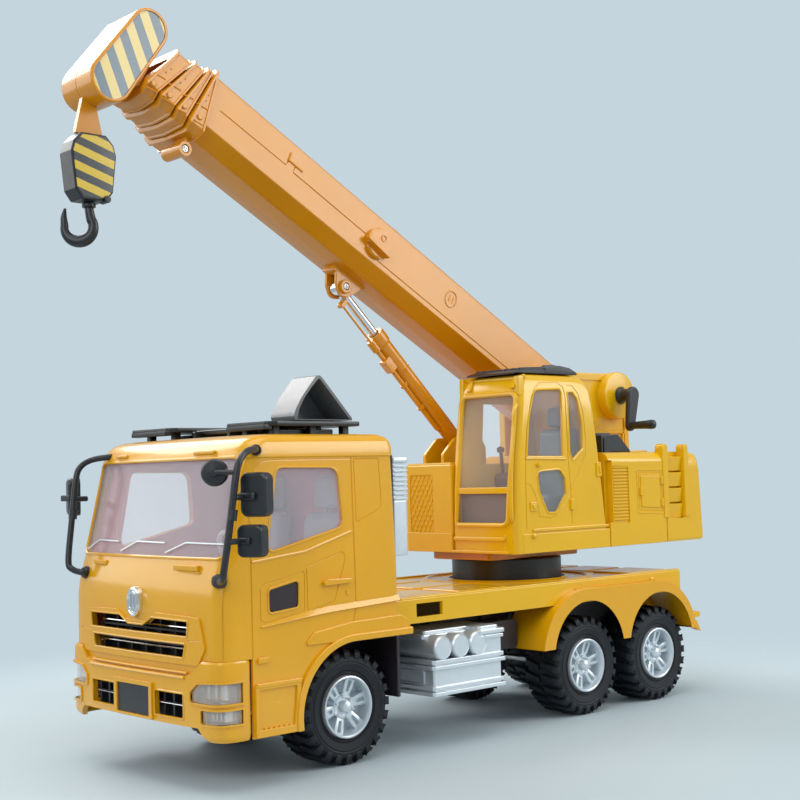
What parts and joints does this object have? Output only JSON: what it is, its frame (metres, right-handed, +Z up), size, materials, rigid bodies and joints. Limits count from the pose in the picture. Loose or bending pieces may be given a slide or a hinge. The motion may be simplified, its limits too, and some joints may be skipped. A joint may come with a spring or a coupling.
{
  "type": "toy crane truck",
  "caption": "Toy mobile crane on a flat-deck truck: slewing cab, telescoping boom with lift cylinder, hand-cranked hook block and rolling wheels.",
  "frame": {"origin": "bottom centre of the bounding box, on the floor between the wheels", "axes": "+X to the front of the truck, +Y to its left, +Z up"},
  "size_m": [0.514, 0.224, 0.4708],
  "materials": {
    "yellow_plastic": "gloss",
    "orange_plastic": "gloss",
    "black_plastic": "satin",
    "grey_plastic": "satin",
    "interior_plastic": "satin",
    "silver_plastic": "metallic",
    "clear_plastic": "clear",
    "chrome_plate": "polished",
    "steel": "brushed",
    "tyre": "matt",
    "cord": "braided"
  },
  "bodies": {
    "truck": {"chassis_frame": "black_plastic", "deck": "orange_plastic", "fender_left": "yellow_plastic", "fender_right": "yellow_plastic", "cab_shell": "yellow_plastic", "cab_glazing": "clear_plastic", "cab_interior": "interior_plastic", "front_grille": "black_plastic", "front_badge": "chrome_plate", "front_bumper": "yellow_plastic", "headlamp_left": "clear_plastic", "headlamp_right": "clear_plastic", "bumper_grille": "black_plastic", "number_plate": "black_plastic", "roof_rack": "black_plastic", "wind_deflector": "grey_plastic", "mirror_left": "black_plastic", "mirror_right": "black_plastic", "intake_stack": "silver_plastic", "side_box_left": "silver_plastic", "side_box_right": "silver_plastic", "turntable_ring": "black_plastic"},
    "front_wheels": {"axle_front": "steel", "tyre_front_left": "tyre", "rim_front_left": "silver_plastic", "tyre_front_right": "tyre", "rim_front_right": "silver_plastic"},
    "middle_wheels": {"axle_middle": "steel", "tyre_middle_left": "tyre", "rim_middle_left": "silver_plastic", "tyre_middle_right": "tyre", "rim_middle_right": "silver_plastic"},
    "rear_wheels": {"axle_rear": "steel", "tyre_rear_left": "tyre", "rim_rear_left": "silver_plastic", "tyre_rear_right": "tyre", "rim_rear_right": "silver_plastic"},
    "superstructure": {"swing_plate": "orange_plastic", "upper_body": "orange_plastic", "engine_hood": "yellow_plastic", "counterweight": "yellow_plastic", "crane_cab_shell": "yellow_plastic", "crane_cab_glazing": "clear_plastic", "crane_seat": "black_plastic", "crane_roof_grate": "black_plastic", "engine_box": "black_plastic", "boom_tower": "yellow_plastic"},
    "winch": {"winch_drum": "black_plastic", "crank_handle": "black_plastic"},
    "boom": {"boom_outer": "orange_plastic"},
    "stage_2": {"boom_section_2": "orange_plastic"},
    "stage_3": {"boom_section_3": "orange_plastic"},
    "stage_4": {"boom_tip": "orange_plastic", "boom_head": "orange_plastic"},
    "pulley": {"sheave": "black_plastic"},
    "lift_rod": {"piston_rod": "chrome_plate"},
    "lift_barrel": {"cylinder_barrel": "orange_plastic"},
    "hoist_line": {"hoist_cord": "cord"},
    "block": {"hook_block": "black_plastic"},
    "hook_body": {"hook": "black_plastic"}
  },
  "joints": [
    {"name": "front_axle_spin", "type": "hinge", "parent": "truck", "child": "front_wheels", "pos_m": [0.124, 0, 0.035], "axis": [0, 1, 0], "continuous": true},
    {"name": "middle_axle_spin", "type": "hinge", "parent": "truck", "child": "middle_wheels", "pos_m": [-0.099, 0, 0.035], "axis": [0, 1, 0], "continuous": true},
    {"name": "rear_axle_spin", "type": "hinge", "parent": "truck", "child": "rear_wheels", "pos_m": [-0.182, 0, 0.035], "axis": [0, 1, 0], "continuous": true},
    {"name": "slew", "type": "hinge", "parent": "truck", "child": "superstructure", "pos_m": [-0.091, 0, 0.108], "axis": [0, 0, 1], "continuous": true},
    {"name": "boom_luff", "type": "hinge", "parent": "superstructure", "child": "boom", "pos_m": [-0.19, -0.027, 0.214], "axis": [0, -1, 0], "range_deg": [-13, 14]},
    {"name": "extend_2", "type": "slide", "parent": "boom", "child": "stage_2", "axis": [0.8746, 0, 0.4848], "range_m": [0, 0.15]},
    {"name": "extend_3", "type": "slide", "parent": "stage_2", "child": "stage_3", "axis": [0.8746, 0, 0.4848], "range_m": [0, 0.15]},
    {"name": "extend_4", "type": "slide", "parent": "stage_3", "child": "stage_4", "axis": [0.8746, 0, 0.4848], "range_m": [0, 0.15]},
    {"name": "lift_rod_tilt", "type": "hinge", "parent": "boom", "child": "lift_rod", "pos_m": [0.04393, -0.027, 0.30765], "axis": [0, -1, 0], "range_deg": [-5, 6]},
    {"name": "lift_stroke", "type": "slide", "parent": "lift_rod", "child": "lift_barrel", "axis": [-0.7167, 0, -0.6973], "range_m": [-0.0215, 0.0275]},
    {"name": "winch_crank", "type": "hinge", "parent": "superstructure", "child": "winch", "pos_m": [-0.218, 0, 0.234], "axis": [0, 1, 0], "range_deg": [0, 1432]},
    {"name": "sheave_spin", "type": "hinge", "parent": "stage_4", "child": "pulley", "pos_m": [0.23319, -0.027, 0.42], "axis": [0, 1, 0], "range_deg": [0, 1140]},
    {"name": "hook_hang", "type": "hinge", "parent": "stage_4", "child": "hoist_line", "pos_m": [0.23319, -0.027, 0.42], "axis": [0, -1, 0], "range_deg": [-14.5, 13.5]},
    {"name": "hook_hoist", "type": "slide", "parent": "hoist_line", "child": "block", "axis": [0, 0, -1], "range_m": [0, 0.15], "deforming": ["hoist_cord"]},
    {"name": "hook_swivel", "type": "hinge", "parent": "block", "child": "hook_body", "pos_m": [0.24109, -0.027, 0.346], "axis": [0, 0, 1], "continuous": true}
  ],
  "couplings": [
    {"joint": "lift_rod_tilt", "follows": "boom_luff", "ratio": 0.36},
    {"joint": "lift_stroke", "follows": "boom_luff", "m_per_rad": 0.0935},
    {"joint": "hook_hang", "follows": "boom_luff", "ratio": -1},
    {"joint": "sheave_spin", "follows": "winch_crank", "ratio": 0.79},
    {"joint": "hook_hoist", "follows": "winch_crank", "m_per_rad": 0.006}
  ]
}
